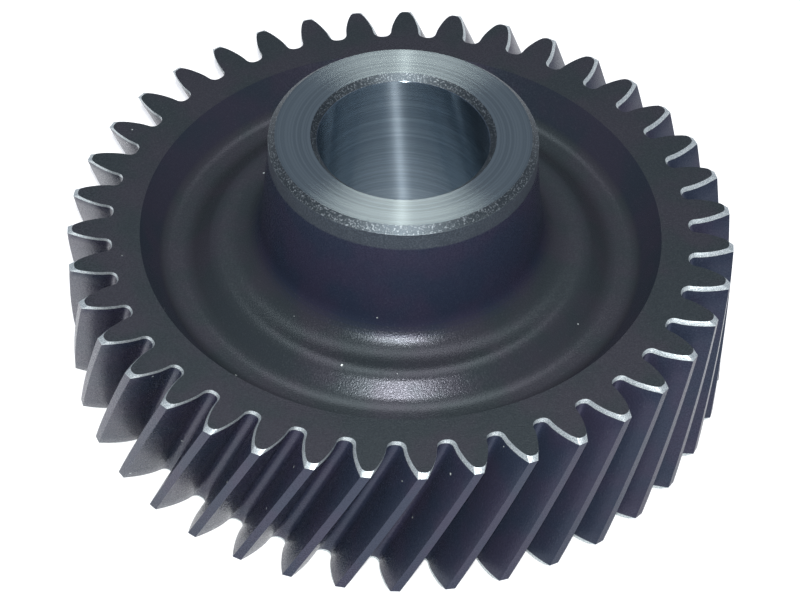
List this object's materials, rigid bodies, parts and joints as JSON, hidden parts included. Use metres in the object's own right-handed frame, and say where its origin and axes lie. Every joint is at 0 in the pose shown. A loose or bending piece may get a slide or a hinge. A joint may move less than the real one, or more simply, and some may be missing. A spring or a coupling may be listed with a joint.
{
  "type": "helical gear",
  "caption": "Heavy right-hand helical gear with a dished web, a tall plain-bored hub on one side and chamfered tooth ends.",
  "frame": {"origin": "centre of the flat underside, on the bore axis", "axes": "+Z along the bore axis, out through the tall hub; +X through a tooth halfway up the rim"},
  "size_m": [0.181, 0.181, 0.0805],
  "materials": {
    "gear_steel": "black phosphated forging steel, with the hub face, its chamfers and the bore machined bright"
  },
  "bodies": {
    "root": {"helical_gear": "gear_steel"}
  },
  "joints": []
}
